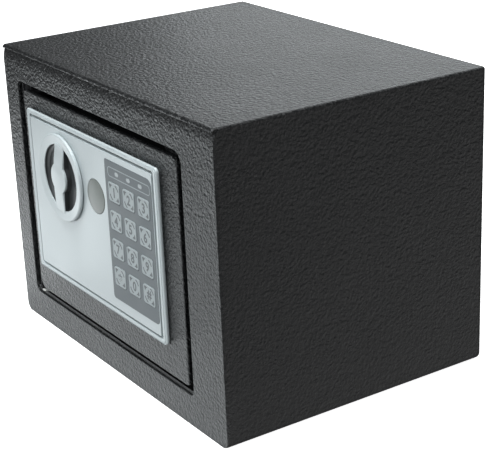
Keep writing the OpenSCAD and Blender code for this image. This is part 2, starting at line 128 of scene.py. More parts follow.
def plus_sign(centre, half_length, half_width):
    """A cross recess, such as a screw's."""

    def outline(grow=0):
        a, b = half_length + grow, half_width + grow
        corners = [(a, -b), (a, b), (b, b), (b, a), (-b, a), (-b, b)]
        corners += [(-x, -z) for x, z in corners]
        return [(centre[0] + x, centre[1] + z) for x, z in corners]

    return outline


# ---- meshes ----------------------------------------------------------------------------------


def in_scene(name, data):
    """A new object for a mesh, curve, light or camera, linked into the scene."""
    made = bpy.data.objects.new(name, data)
    bpy.context.scene.collection.objects.link(made)
    return made


def new_piece(name, mesh, body, slot, replaces=(), material=None):
    """Puts a mesh in the scene on its body, smooth where it curves and crisp where it turns. It
    takes its slot's material unless it is given another."""
    piece = in_scene(name, mesh)
    mesh.materials.clear()
    mesh.materials.append(material or MATERIALS[slot])
    mesh.shade_smooth()
    mesh.set_sharp_from_angle(angle=SMOOTH_ANGLE)
    normals = piece.modifiers.new("weighted normals", "WEIGHTED_NORMAL")
    normals.keep_sharp = True
    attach(piece, body)
    if replaces:
        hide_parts(*replaces)
    return piece


def edge(front, back, radius, sign=-1, steps=5):
    """(grow, y) steps down an edge that is rounded over where it leaves the front face."""
    way = 1 if back > front else -1
    rounded = [
        (sign * radius * (1 - math.sin(t)), front + way * radius * (1 - math.cos(t)))
        for t in quarter(steps)
    ]
    return rounded + [(0, back)]


def rings_of(outline, steps):
    """An outline's points at each step of (grow, y)."""
    return [[(x, y, z) for x, z in outline(grow)] for grow, y in steps]


def bridge(made, rings):
    """Walls between each closed ring of vertices and the next. Corners that meet are merged."""
    for ring, after in zip(rings, rings[1:]):
        for i in range(len(ring)):
            j = (i + 1) % len(ring)
            corners = list(dict.fromkeys((ring[i], ring[j], after[j], after[i])))
            if len(corners) > 2:
                made.faces.new(corners)


def closed_mesh(name, made):
    """A mesh from a finished bmesh, with its faces turned outwards."""
    bmesh.ops.recalc_face_normals(made, faces=made.faces)
    mesh = bpy.data.meshes.new(name)
    made.to_mesh(mesh)
    made.free()
    return mesh


def solid(name, loops):
    """A flat piece's mesh. Each loop is (outline, steps, blind): its steps of (grow, y) run from
    the front face round to the back face, and a blind one ends in a floor of its own."""
    made = bmesh.new()
    fronts, backs, floors = [], [], []
    for outline, steps, *blind in loops:
        rings = [[made.verts.new(p) for p in ring] for ring in rings_of(outline, steps)]
        bridge(made, rings)
        fronts.append(rings[0])
        (floors if blind else backs).append(rings[-1])
    for cap in [fronts, backs] + [[floor] for floor in floors]:
        cap_face(made, cap)
    return closed_mesh(name, made)


def cap_face(made, loops):
    """Fills the flat region between an outer loop and the loops inside it."""
    verts = [v for loop in loops for v in loop]
    flat = [[Vector((v.co.x, v.co.z, 0)) for v in loop] for loop in loops]
    if len(loops) == 1 and is_convex(flat[0]):
        made.faces.new(loops[0])
        return
    for triangle in tessellate_polygon(flat):
        corners = [verts[i] for i in triangle]
        if len(set(corners)) == 3 and not made.faces.get(corners):
            made.faces.new(corners)


STRAIGHT = 1e-12  # a turn this small counts as none


def is_convex(points):
    """Whether a flat outline turns one way only."""
    count = len(points)
    turns = [
        (points[i] - points[i - 1]).cross(points[(i + 1) % count] - points[i]).z
        for i in range(count)
    ]
    return all(t >= -STRAIGHT for t in turns) or all(t <= STRAIGHT for t in turns)


ON_AXIS = 1e-6  # a radius below this is a point on the axis


def lathe(name, centre, profile, steps=96):
    """A body of revolution about a line along Y, from (radius, y) points."""
    made = bmesh.new()
    rings = []
    for radius, y in profile:
        if radius < ON_AXIS:
            rings.append([made.verts.new((centre[0], y, centre[1]))] * steps)
        else:
            ring = arc(centre, radius, 0, 360, steps)[:-1]
            rings.append([made.verts.new((x, y, z)) for x, z in ring])
    bridge(made, rings)
    return closed_mesh(name, made)


def join(name, meshes):
    """One mesh from several."""
    made = bmesh.new()
    for mesh in meshes:
        made.from_mesh(mesh)
        bpy.data.meshes.remove(mesh)
    joined = bpy.data.meshes.new(name)
    made.to_mesh(joined)
    made.free()
    return joined


# ---- shader building ---------------------------------------------------------------------------


NOISE_RANGE = (0.3, 0.7)


def scaled(colour, factor):
    """A colour made darker or lighter."""
    return tuple(factor * c for c in colour)


class Shader:
    """A material built from nodes. A value that is a socket is linked, and any other is set."""

    def __init__(self, name, surface):
        self.material = bpy.data.materials.new(name)
        self.material.use_nodes = True
        self.tree = self.material.node_tree
        self.surface = self.tree.nodes["Principled BSDF"]
        self.place = self.node("ShaderNodeTexCoord", {}).outputs["Object"]
        self.set(self.surface, surface)

    def feed(self, target, value):
        """Links a socket to an input, or sets the input to a value."""
        if isinstance(value, bpy.types.NodeSocket):
            self.tree.links.new(value, target)
        elif isinstance(value, tuple) and len(value) == 3 and target.type == "RGBA":
            target.default_value = (*value, 1)
        else:
            target.default_value = value

    def set(self, node, values):
        for socket, value in values.items():
            self.feed(node.inputs[socket], value)

    def node(self, kind, values, **properties):
        made = self.tree.nodes.new(kind)
        for key, value in properties.items():
            setattr(made, key, value)
        self.set(made, values)
        return made

    def stretched(self, scale):
        """Object coordinates scaled along each axis, for grain that runs one way."""
        return self.node("ShaderNodeMapping", {"Vector": self.place, "Scale": scale}).outputs[0]

    def noise(self, size, detail=2.0, rough=0.5, distortion=0.0, place=None):
        values = {
            "Vector": place or self.place,
            "Scale": 1 / size,
            "Detail": detail,
            "Roughness": rough,
            "Distortion": distortion,
        }
        return self.node("ShaderNodeTexNoise", values).outputs["Fac"]

    def bands(self, scale):
        """Even bands, one above another."""
        values = {"Vector": self.place, "Scale": scale}
        return self.node("ShaderNodeTexWave", values, bands_direction="Z").outputs["Fac"]

    def cells(self, size, feature="SMOOTH_F1", randomness=1.0, place=None):
        values = {"Vector": place or self.place, "Scale": 1 / size, "Randomness": randomness}
        made = self.node("ShaderNodeTexVoronoi", values, feature=feature)
        return made.outputs["Distance"]

    def remap(self, value, low, high, to_low=0.0, to_high=1.0):
        values = {
            "Value": value,
            "From Min": low,
            "From Max": high,
            "To Min": to_low,
            "To Max": to_high,
        }
        return self.node("ShaderNodeMapRange", values).outputs["Result"]

    def spread(self, noise, to_low=0.0, to_high=1.0):
        """A noise spread from the range where most of it lies over another range."""
        return self.remap(noise, *NOISE_RANGE, to_low, to_high)

    def math(self, operation, a, b):
        made = self.node("ShaderNodeMath", {}, operation=operation)
        for target, value in zip(made.inputs, (a, b)):
            self.feed(target, value)
        return made.outputs[0]

    def blend(self, share, first, second):
        made = self.node("ShaderNodeMix", {}, data_type="RGBA")
        sockets = {s.identifier: s for s in made.inputs}
        self.tree.links.new(share, sockets["Factor_Float"])
        sockets["A_Color"].default_value = (*first, 1)
        sockets["B_Color"].default_value = (*second, 1)
        return next(s for s in made.outputs if s.identifier == "Result_Color")

    def bump(self, height, depth):
        values = {"Height": height, "Distance": depth, "Strength": 1.0}
        return self.node("ShaderNodeBump", values).outputs["Normal"]

    def finish(self, **surface):
        """The material, with these inputs of its surface. An underscore stands for a space."""
        self.set(self.surface, {key.replace("_", " "): value for key, value in surface.items()})
        return self.material


def powder_coat():
    """Black powder coat with a leathery texture: wrinkled pebbles a millimetre or two across."""
    s = Shader("powder_coat", {"IOR": 1.5})
    warp_scale, warp_reach = 500.0, 0.9 * MM
    pebble, wrinkle, pebble_share = 1.7 * MM, 1.3 * MM, 0.55
    warp = s.node("ShaderNodeTexNoise", {"Vector": s.place, "Scale": warp_scale, "Detail": 1.0})
    shifted = s.node("ShaderNodeVectorMath", {"Scale": warp_reach}, operation="SCALE")
    s.tree.links.new(warp.outputs["Color"], shifted.inputs[0])
    bent = s.node("ShaderNodeVectorMath", {}, operation="ADD")
    s.tree.links.new(s.place, bent.inputs[0])
    s.tree.links.new(shifted.outputs[0], bent.inputs[1])
    place = bent.outputs[0]
    pebbles = s.remap(s.cells(pebble, randomness=0.95, place=place), 0.05, 0.7, 1.0, 0.0)
    wrinkles = s.noise(wrinkle, detail=2.5, rough=0.5, distortion=0.8)
    height = s.math("ADD", s.math("MULTIPLY", pebbles, pebble_share), wrinkles)
    shade = s.spread(s.noise(38 * MM, detail=3.0))
    handled = s.noise(60 * MM, detail=4.0, rough=0.6)
    return s.finish(
        Base_Color=s.blend(shade, (0.0045, 0.0049, 0.0053), (0.0065, 0.0069, 0.0075)),
        Roughness=s.spread(handled, 0.27, 0.33),
        Normal=s.bump(height, 0.72 * MM),
    )


def silver_plastic(name, colour, rough=0.36):
    """Moulded plastic with silver paint: a fine metallic fleck under a satin surface."""
    s = Shader(name, {"Metallic": 0.1, "IOR": 1.5})
    fleck = s.noise(0.16 * MM, detail=1.0)
    cloud = s.noise(30 * MM, detail=2.0)
    return s.finish(
        Base_Color=s.blend(s.remap(fleck, 0.35, 0.65), scaled(colour, 0.955), colour),
        Roughness=s.spread(cloud, rough - 0.04, rough + 0.05),
        Normal=s.bump(fleck, 0.004 * MM),
    )


def moulded_plastic(name, colour, rough, grain=0.35, depth=0.012):
    """Plastic with a spark-eroded mould texture and slight wear on its shine. The grain's size and
    depth are in millimetres."""
    s = Shader(name, {"IOR": 1.48})
    pits = s.noise(grain * MM, detail=2.0, rough=0.6)
    cloud = s.noise(24 * MM, detail=3.0)
    lighter = tuple(min(1.0, 1.12 * c + 0.004) for c in colour)
    return s.finish(
        Base_Color=s.blend(s.spread(cloud), colour, lighter),
        Roughness=s.spread(pits, rough - 0.05, rough + 0.06),
        Normal=s.bump(pits, depth * MM),
    )


def steel(name, colour, rough, brushed=(1, 1, 1), tint=0.93):
    """Plated steel with fine drawn scratches. They run along the axis where brushed is small, and
    tint darkens the metal's cloudy patches."""
    s = Shader(name, {"Metallic": 1.0})
    grain = s.noise(0.22 * MM, detail=3.0, rough=0.6, place=s.stretched(brushed))
    cloud = s.noise(9 * MM, detail=4.0, rough=0.6)
    return s.finish(
        Base_Color=s.blend(s.remap(cloud, 0.35, 0.65), scaled(colour, tint), colour),
        Roughness=s.spread(grain, rough - 0.06, rough + 0.1),
        Normal=s.bump(grain, 0.006 * MM),
    )


def felt(name, colour):
    """Needle felt: short fibres in every direction over a soft, cloudy base."""
    s = Shader(name, {"Sheen Weight": 0.35, "Roughness": 0.95, "IOR": 1.4})
    fibres = s.noise(0.5 * MM, detail=5.0, rough=0.75, distortion=2.2)
    clumps = s.noise(4 * MM, detail=3.0)
    height = s.math("ADD", fibres, s.math("MULTIPLY", clumps, 0.6))
    return s.finish(
        Base_Color=s.blend(s.remap(fibres, 0.35, 0.7), colour, scaled(colour, 1.9)),
        Normal=s.bump(height, 0.5 * MM),
    )


def circuit_board():
    """Green solder mask with copper tracks showing faintly beneath it."""
    s = Shader("circuit_board", {"IOR": 1.5, "Roughness": 0.32})
    tracks = s.cells(4.5 * MM, feature="DISTANCE_TO_EDGE", randomness=0.6)
    lines = s.remap(tracks, 0.03, 0.06)
    return s.finish(
        Base_Color=s.blend(lines, (0.05, 0.17, 0.06), (0.012, 0.09, 0.035)),
        Normal=s.bump(lines, 0.03 * MM),
    )


def ribbon_film():
    """A flat cable's ribs, side by side across its width."""
    s = Shader("ribbon_film", {"IOR": 1.5, "Roughness": 0.38})
    ribs = s.bands(250.0)
    return s.finish(
        Base_Color=s.blend(ribs, (0.24, 0.25, 0.27), (0.42, 0.43, 0.45)),
        Normal=s.bump(ribs, 0.15 * MM),
    )


def winding():
    """Copper wire under amber tape, turn beside turn up the coil."""
    s = Shader("winding", {"IOR": 1.5, "Metallic": 0.4, "Roughness": 0.35})
    turns = s.bands(520.0)
    return s.finish(
        Base_Color=s.blend(turns, (0.35, 0.16, 0.03), (0.62, 0.34, 0.10)),
        Normal=s.bump(turns, 0.08 * MM),
    )


def smoked_cap():
    """The keyhole cap's cloudy, faintly translucent plastic."""
    s = Shader("smoked_cap", {"IOR": 1.49, "Subsurface Weight": 0.12, "Roughness": 0.3})
    s.surface.inputs["Subsurface Radius"].default_value = (2 * MM, 2 * MM, 1.6 * MM)
    cloud = s.noise(11 * MM, detail=3.0)
    mist = s.noise(0.6 * MM, detail=2.0)
    return s.finish(
        Base_Color=s.blend(s.spread(cloud), (0.136, 0.156, 0.141), (0.166, 0.180, 0.166)),
        Normal=s.bump(mist, 0.01 * MM),
    )


def key_film(name, colour, rough):
    """Printed keypad film: a fine, even emboss."""
    s = Shader(name, {"IOR": 1.49})
    emboss = s.noise(0.28 * MM, detail=1.0)
    smear = s.noise(14 * MM, detail=3.0)
    return s.finish(
        Base_Color=s.blend(s.spread(smear), colour, scaled(colour, 1.08)),
        Roughness=s.spread(smear, rough, rough + 0.08),
        Normal=s.bump(emboss, 0.008 * MM),
    )


MATERIALS = {
    "cabinet_coat": powder_coat(),
    "nylon": moulded_plastic("nylon", (0.72, 0.72, 0.69), 0.42),
    "rubber": moulded_plastic("rubber", (0.018, 0.018, 0.019), 0.7, grain=0.5, depth=0.02),
    "carpet": felt("carpet", (0.018, 0.018, 0.02)),
    "silver_plastic": silver_plastic("silver_plastic", (0.58, 0.63, 0.64)),
    "knob_silver": silver_plastic("knob_silver", (0.58, 0.63, 0.64), rough=0.33),
    "knob_black": moulded_plastic("knob_black", (0.044, 0.047, 0.049), 0.34, grain=0.6),
    "keypad_film": key_film("keypad_film", (0.11, 0.128, 0.138), 0.42),
    "key_grey": key_film("key_grey", (0.38, 0.42, 0.43), 0.4),
    "lens": moulded_plastic("lens", (0.36, 0.39, 0.40), 0.25),
    "cap_plastic": smoked_cap(),
    "zinc_steel": steel("zinc_steel", (0.55, 0.56, 0.55), 0.32, brushed=(1, 1, 0.1)),
    "bolt_chrome": steel("bolt_chrome", (0.72, 0.73, 0.74), 0.16, brushed=(0.06, 1, 1), tint=0.98),
    "lock_metal": steel("lock_metal", (0.5, 0.5, 0.5), 0.3, brushed=(1, 0.1, 1)),
    "brass": steel("brass", (0.62, 0.42, 0.16), 0.28, brushed=(1, 0.1, 1)),
    "circuit_board": circuit_board(),
    "ribbon": ribbon_film(),
    "coil_tape": winding(),
    "black_plastic": moulded_plastic("black_plastic", (0.02, 0.02, 0.022), 0.48, grain=0.5),
    "red_plastic": moulded_plastic("red_plastic", (0.42, 0.02, 0.015), 0.3),
    "cell_sleeve": moulded_plastic(
        "cell_sleeve", (0.03, 0.03, 0.034), 0.25, grain=1.0, depth=0.004
    ),
}
MATERIALS["door_coat"] = MATERIALS["cabinet_coat"]
KEY_PRINT = key_film("key_print", (0.095, 0.108, 0.115), 0.4)
LINE_PRINT = key_film("line_print", (0.33, 0.37, 0.38), 0.4)
# Painted shade: a near-black, matte material, darker than the door's coat, for the hinge's
# knuckles, pins and brackets, so that they read as the shade in the gap beside the door.
HINGE_GAP_SHADE = moulded_plastic("hinge_gap_shade", (0.004, 0.004, 0.005), 0.85, grain=0.6)

for part in frame["record"]["subparts"]:
    node = frame["nodes"][part["node"]]
    node.data.materials.clear()
    node.data.materials.append(MATERIALS[part["material_slot"]])
# Painted shade: the hinge's parts take the near-black material in place of their slot's coat.
for shaded_hinge in ("hinge_knuckles", "hinge_pins", "hinge_brackets"):
    frame["nodes"][shaded_hinge].data.materials[0] = HINGE_GAP_SHADE


# ---- cabinet -----------------------------------------------------------------------------------

# The sheet's thickness, the depth of the front sheet's rim and the height of the folded edge
# that lies over its top. Radii start at the bottom left and go anticlockwise.
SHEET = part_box("body_shell")[0].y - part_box("front_frame")[0].y
RIM_DEPTH = 2.05 * MM
LIP_HEIGHT = 2.1 * MM
BOTTOM_BEND, TOP_BEND = 5 * MM, 1.5 * MM
DOORWAY = (-98.5 * MM, 19.5 * MM, 84 * MM, 151 * MM)
DOORWAY_RADII = (4.5 * MM, 3.5 * MM, 6.5 * MM, 3 * MM)
DOOR_RADII = (6.5 * MM, 2.5 * MM, 6 * MM, 2.5 * MM)
ANCHOR_RADIUS = 5 * MM
ANCHOR_X = (-45 * MM, 45 * MM)
FLOOR_ANCHOR_Y, BACK_ANCHOR_Z = 20 * MM, 85 * MM


def cabinet_outline(rect):
    """The cabinet's edge. A pair grows it all round, and then lowers its top."""

    def outline(grow=0):
        all_round, top = grow if isinstance(grow, tuple) else (grow, 0)
        lowered = (rect[0], rect[1], rect[2], rect[3] - top)
        return rounded_rect(lowered, (BOTTOM_BEND, BOTTOM_BEND, TOP_BEND, TOP_BEND))(all_round)

    return outline


def doorway_outline(grow):
    """The doorway's edge. A pair grows it all round, and then lowers its sill."""
    all_round, sill = grow if isinstance(grow, tuple) else (grow, 0)
    left, bottom, right, top = DOORWAY
    return rounded_rect((left, bottom - sill, right, top), DOORWAY_RADII, steps=12)(all_round)


def make_front_frame():
    """The front sheet, welded on round its edge, with a doorway that turns back into a flange.
    Its top rolls back under the folded edge, and along the sill its cut edge lies a little lower
    than the flange's lip behind it."""
    front, back = front_of("front_frame"), back_of("front_frame")
    roll, roll_depth, roll_in, steps = 6.5 * MM, 1.2 * MM, 0.45 * MM, 14
    rim, rim_back = 1.1 * MM, front + RIM_DEPTH
    outer = []
    for i in range(steps + 1):
        left_over = 1 - i / steps
        outer.append(((-roll_in * left_over, LIP_HEIGHT + roll * left_over),
                      front + roll_depth * (i / steps) ** 2))
    outer += [((0, LIP_HEIGHT), rim_back - 0.05 * MM), (-rim, rim_back), (-rim, front + SHEET)]
    bend, sill_drop, sill_edge = 0.5 * MM, 1.3 * MM, front + 1.05 * MM
    lip, lip_back = (0, -0.75 * MM), sill_edge + 0.8 * MM
    doorway = [((grow, sill_drop), y) for grow, y in edge(front, sill_edge, bend, sign=1)]
    doorway += [(lip, sill_edge + 0.05 * MM), (lip, lip_back), (0, lip_back + 0.1 * MM)]
    doorway += [(0, back), (SHEET, back), (SHEET, front + SHEET)]
    loops = [(cabinet_outline(rect_of("front_frame")), outer), (doorway_outline, doorway)]
    new_piece("front_sheet", solid("front_sheet", loops), "cabinet", "cabinet_coat",
              ["front_frame"])


def make_lip():
    """The edge of the folded sheet over the front sheet's top, rounded over to the top, and
    falling a little at each end where the corner is round."""
    left, _, right, top = rect_of("front_frame")
    front, bend, depth = front_of("front_frame"), 1.3 * MM, RIM_DEPTH + 1.4 * MM
    low = -LIP_HEIGHT
    profile = [(0.6 * MM, low), (0.1 * MM, 0.1 * MM - LIP_HEIGHT), (0, 0.3 * MM - LIP_HEIGHT)]
    profile += [(bend * (1 - math.cos(t)), -bend * (1 - math.sin(t))) for t in quarter(6)]
    profile += [(depth, 0), (depth, low)]
    short, fall = 0.4 * MM, 0.5 * MM
    places = [(left + short, -fall), (left + TOP_BEND, 0)]
    places += [(right - TOP_BEND, 0), (right - short, -fall)]
    made = bmesh.new()
    rings = [[made.verts.new((x, front + y, top + z + down)) for y, z in profile]
             for x, down in places]
    bridge(made, rings)
    for end in (rings[0], rings[-1]):
        made.faces.new(end)
    new_piece("sheet_lip", closed_mesh("sheet_lip", made), "cabinet", "cabinet_coat")


def carve(mesh, cutters):
    """A mesh with the cutters' shapes taken out of it."""
    for cutter in cutters:
        holder, tool = in_scene("holder", mesh), in_scene("tool", cutter)
        cut = holder.modifiers.new("cut", "BOOLEAN")
        cut.operation, cut.solver, cut.object = "DIFFERENCE", "EXACT", tool
        bpy.context.view_layer.update()
        evaluated = holder.evaluated_get(bpy.context.evaluated_depsgraph_get())
        mesh = bpy.data.meshes.new_from_object(evaluated)
        bpy.data.objects.remove(holder)
        bpy.data.objects.remove(tool)
    return mesh


def make_shell():
    """The folded sheet behind the front: a groove across its top that the lip lies over, and two
    anchor holes in its floor."""
    outline = cabinet_outline(rect_of("body_shell"))
    front, back = front_of("front_frame") + RIM_DEPTH, back_of("body_shell")
    groove = (0, 1.1 * MM)
    outer = [(groove, front), (groove, front + 1.1 * MM), (0, front + 1.2 * MM), (0, back)]
    inner = [(-SHEET, front), (-SHEET, back)]
    tube = solid("cabinet_shell", [(outline, outer), (outline, inner)])
    holes = []
    for x in ANCHOR_X:
        made = bmesh.new()
        bmesh.ops.create_cone(made, cap_ends=True, segments=48, radius1=ANCHOR_RADIUS,
                              radius2=ANCHOR_RADIUS, depth=6 * MM,
                              matrix=Matrix.Translation((x, FLOOR_ANCHOR_Y, 0)))
        holes.append(bpy.data.meshes.new("hole"))
        made.to_mesh(holes[-1])
        made.free()
    new_piece("cabinet_shell", carve(tube, holes), "cabinet", "cabinet_coat", ["body_shell"])


def make_back_panel():
    """The back sheet with its two anchor holes, set in a little at its welded seam."""
    front, back = front_of("back_panel"), back_of("back_panel")
    seam = 0.4 * MM
    holes = [circle((x, BACK_ANCHOR_Z), ANCHOR_RADIUS, 48) for x in ANCHOR_X]
    rim = edge(back, front + seam, seam) + [(-seam, front)]
    loops = [(cabinet_outline(rect_of("back_panel")), rim)]
    loops += [(hole, edge(back, front, 0.3 * MM, sign=1)) for hole in holes]
    new_piece("back_sheet", solid("back_sheet", loops), "cabinet", "cabinet_coat", ["back_panel"])


# ---- door and fascia ---------------------------------------------------------------------------

KNOB = middle_of("knob_face")
CAP = middle_of("key_cover")
FASCIA = rect_of("fascia_bezel")
FASCIA_FRONT = front_of("fascia_plate")
# The widths of the bezel's rim and of the groove inside it: at the sides, then top and bottom.
RIM = (3.9 * MM, 2.7 * MM)
GROOVE = (1.3 * MM, 1.35 * MM)


def make_door():
    """The door's plate, with its holes for the spindle, the lock's barrel and the ribbon cable."""
    front, back = front_of("door_plate"), back_of("door_plate")
    through = [(0, front), (0, back)]
    ribbon_slot = (22 * MM, 117.5 * MM, 26 * MM, 129.5 * MM)
    loops = [
        (rounded_rect(rect_of("door_plate"), DOOR_RADII, steps=12), edge(front, back, 0.7 * MM)),
        (circle(KNOB, 7 * MM), through),
        (circle(CAP, 9.5 * MM), through),
        (rounded_rect(ribbon_slot, [0.4 * MM] * 4), through),
    ]
    new_piece("door_sheet", solid("door_sheet", loops), "door", "door_coat", ["door_plate"])


def bezel_outline(grow):
    """The bezel's edge, grown by its own amount at the sides and at the top and bottom."""
    return rounded_rect(inset(FASCIA, -grow[0], -grow[1]), [2.5 * MM] * 4, steps=10)()


def make_bezel():
    """The fascia's raised rim. Its face slopes in towards the groove round the plate, and a fine
    crease runs along its outer edge. The wall stops just short of the door."""
    front, base = FASCIA_FRONT, back_of("fascia_bezel")
    rise, groove, gap = 0.3 * MM, FASCIA_FRONT + 2.1 * MM, base - 0.9 * MM
    foot = (-0.9 * MM, -0.9 * MM)
    profile = [(-1.9, -0.95, 0), (-1.5, -0.85, 0.04), (-1.35, -0.8, 0.35), (-1.15, -0.5, 0.35),
               (-1.0, -0.42, 0.14), (-0.6, -0.25, 0.24), (-0.2, -0.08, 0.5), (0, 0, 0.9)]
    outer = [((x * MM, z * MM), front + y * MM) for x, z, y in profile]
    outer += [((0, 0), gap), (foot, gap), (foot, base)]
    inner = edge(front + rise, groove, 0.15 * MM, sign=1) + [(-1 * MM, groove), (-1 * MM, base)]
    loops = [
        (bezel_outline, outer),
        (rounded_rect(inset(FASCIA, *RIM), [1.3 * MM] * 4, steps=10), inner),
    ]
    new_piece("fascia_rim", solid("fascia_rim", loops), "door", "silver_plastic",
              ["fascia_bezel"])


def make_fascia_plate():
    """The fascia's flat plate, with its openings for the knob, the cap and the keypad."""
    back = FASCIA_FRONT + 2.0 * MM
    plate = inset(FASCIA, RIM[0] + GROOVE[0], RIM[1] + GROOVE[1])
    radius = 0.2 * MM
    loops = [
        (rounded_rect(plate, [1.0 * MM] * 4, steps=10), edge(FASCIA_FRONT, back, radius)),
        (circle(KNOB, 21.2 * MM, 128), edge(FASCIA_FRONT, back, radius, sign=1)),
        (circle(CAP, 9.95 * MM), edge(FASCIA_FRONT, back, radius, sign=1)),
        (rounded_rect(KEYPAD, KEYPAD_RADII), edge(FASCIA_FRONT, back, 0.12 * MM, sign=1)),
    ]
    new_piece("fascia_face", solid("fascia_face", loops), "door", "silver_plastic",
              ["fascia_plate"])


# ---- keypad ------------------------------------------------------------------------------------

KEYPAD = rect_of("keypad_overlay")
KEYPAD_RADII = (2 * MM, 3 * MM, 4 * MM, 1.5 * MM)
LABELS = {f"key_{n}": str(n) for n in range(10)} | {"key_star": "*", "key_hash": "#"}


def make_keypad_film():
    """The dark film with a window for each key and light, and the line printed round the lights."""
    front, back = front_of("keypad_overlay"), back_of("keypad_overlay")
    softened = 0.12 * MM
    loops = [(rounded_rect(KEYPAD, KEYPAD_RADII), edge(front, back, softened))]
    for key in LABELS:
        window = rounded_rect(inset(rect_of(key), -0.16 * MM), [1.76 * MM] * 4, steps=6)
        loops.append((window, edge(front, back, softened, sign=1)))
    left, low, right, high = rect_of("indicator_lenses")
    middle, half = (low + high) / 2, (high - low) / 2
    lens_inset, lens_half = 1.9 * MM, 1.95 * MM
    for x in (left + lens_inset, (left + right) / 2, right - lens_inset):
        window = (x - lens_half, middle - half, x + lens_half, middle + half)
        loops.append((rounded_rect(window, [1.05 * MM] * 4, steps=6), [(0, front), (0, back)]))
    new_piece("keypad_film", solid("keypad_film", loops), "door", "keypad_film",
              ["keypad_overlay"])
    line, height = 0.5 * MM, 5.7 * MM
    window = (KEYPAD[0] + 3.2 * MM, middle - height / 2, KEYPAD[2] - 1.5 * MM, middle + height / 2)
    printed = [(0, front - 0.02 * MM), (0, front)]
    border = [
        (rounded_rect(window, [2.2 * MM] * 4, steps=8), printed),
        (rounded_rect(inset(window, line), [1.7 * MM] * 4, steps=8), printed),
    ]
    new_piece("light_border", solid("light_border", border), "door", "key_grey",
              material=LINE_PRINT)


def corner_marks(rect, y_front, y_back):
    """The printed marks round the light disc in the middle of a key: a filled corner at the top
    left and the bottom right, and an arc at each of the other two."""
    x, z = (rect[0] + rect[2]) / 2, (rect[1] + rect[3]) / 2
    half_x, half_z, corner, steps = 4.95 * MM, 4.45 * MM, 0.9 * MM, 8
    filled = arc((0, 0), 4.3 * MM, 22, 68, steps)
    filled += arc((half_x - corner, half_z - corner), corner, 90, 0, 4)
    curved = arc((0, 0), 4.15 * MM, 18, 72, steps) + arc((0, 0), 5.05 * MM, 70, 20, steps)
    made = []
    for sx, sz, points in ((1, 1, curved), (1, -1, filled), (-1, -1, curved), (-1, 1, filled)):
        flat = [(x + sx * px, z + sz * pz) for px, pz in points]
        made.append(solid("mark", [(lambda grow=0, flat=flat: flat, [(0, y_front), (0, y_back)])]))
    return made


def label_mesh(text, centre, height, y_front, y_back):
    """A character's flat shape, standing on the key's face. One that is low in its font, such as
    the asterisk, keeps its smaller size."""
    half_deep, least_tall = (y_back - y_front) / 2, 0.6
    curve = bpy.data.curves.new("label", "FONT")
    curve.body = text
    curve.align_x = "CENTER"
    curve.extrude = half_deep / height
    curve.offset = 0.028
    curve.resolution_u = 4
    holder = in_scene("label", curve)
    bpy.context.view_layer.update()
    evaluated = holder.evaluated_get(bpy.context.evaluated_depsgraph_get())
    mesh = bpy.data.meshes.new_from_object(evaluated)
    bpy.data.objects.remove(holder)
    xs = [v.co.x for v in mesh.vertices]
    ys = [v.co.y for v in mesh.vertices]
    scale = height / max(max(ys) - min(ys), least_tall)
    middle = Vector(((min(xs) + max(xs)) / 2, (min(ys) + max(ys)) / 2, 0))
    stand = Matrix.Rotation(QUARTER_TURN, 4, "X")
    place = Matrix.Translation((centre[0], (y_front + y_back) / 2, centre[1]))
    size = Matrix.Diagonal((scale, scale, half_deep / max(v.co.z for v in mesh.vertices), 1))
    mesh.transform(place @ stand @ size @ Matrix.Translation(-middle))
    return mesh


def make_key(node, text):
    """A key with a softly rounded edge, a raised rim and its printed face."""
    body = node + "_cap"
    rect = rect_of(node)
    front, back = front_of(node), back_of(node)
    field = front + 0.14 * MM
    rim = 0.75 * MM
    outer = edge(front, back, 0.35 * MM)
    inner = [(0, front), (-0.1 * MM, front + 0.05 * MM), (-0.3 * MM, field)]
    loops = [
        (rounded_rect(rect, [1.6 * MM] * 4, steps=6), outer),
        (rounded_rect(inset(rect, rim), [1.1 * MM] * 4, steps=6), inner, "blind"),
    ]
    new_piece(node + "_button", solid(node, loops), body, "key_grey", [node])
    print_front = field - 0.03 * MM
    marks = corner_marks(rect, print_front, field)
    centre = ((rect[0] + rect[2]) / 2, (rect[1] + rect[3]) / 2)
    marks.append(label_mesh(text, centre, 5.6 * MM, print_front, field))
    printed = join(node + "_print", marks)
    new_piece(node + "_print", printed, body, "key_grey", material=KEY_PRINT)


# ---- knob and keyhole cap ------------------------------------------------------------------------

POCKET_RADIUS = 19.5 * MM
DISH_RADIUS = 20.8 * MM
BOSS_RADIUS = 8.8 * MM
BAR_HALF = 5.3 * MM
BAR_LEAN = math.radians(7)


def on_bar(across, y, along):
    """A point beside the knob's axis, in the bar's own leaning directions."""
    c, s = math.cos(BAR_LEAN), math.sin(BAR_LEAN)
    return KNOB[0] + across * c + along * s, y, KNOB[1] - across * s + along * c


def bar_half(along, spare=0.0):
    """The bar's half width, which swells round the boss with a small fillet."""
    boss = math.sqrt(max(BOSS_RADIUS**2 - along**2, 0))
    blend = 0.8 * MM
    high, low = max(boss, BAR_HALF), min(boss, BAR_HALF)
    swell = max(blend - (high - low), 0) ** 2 / (4 * blend)
    return high + swell - spare


def smooth(value):
    """An even slope from 0 to 1 with soft ends."""
    value = min(max(value, 0.0), 1.0)
    return value * value * (3 - 2 * value)


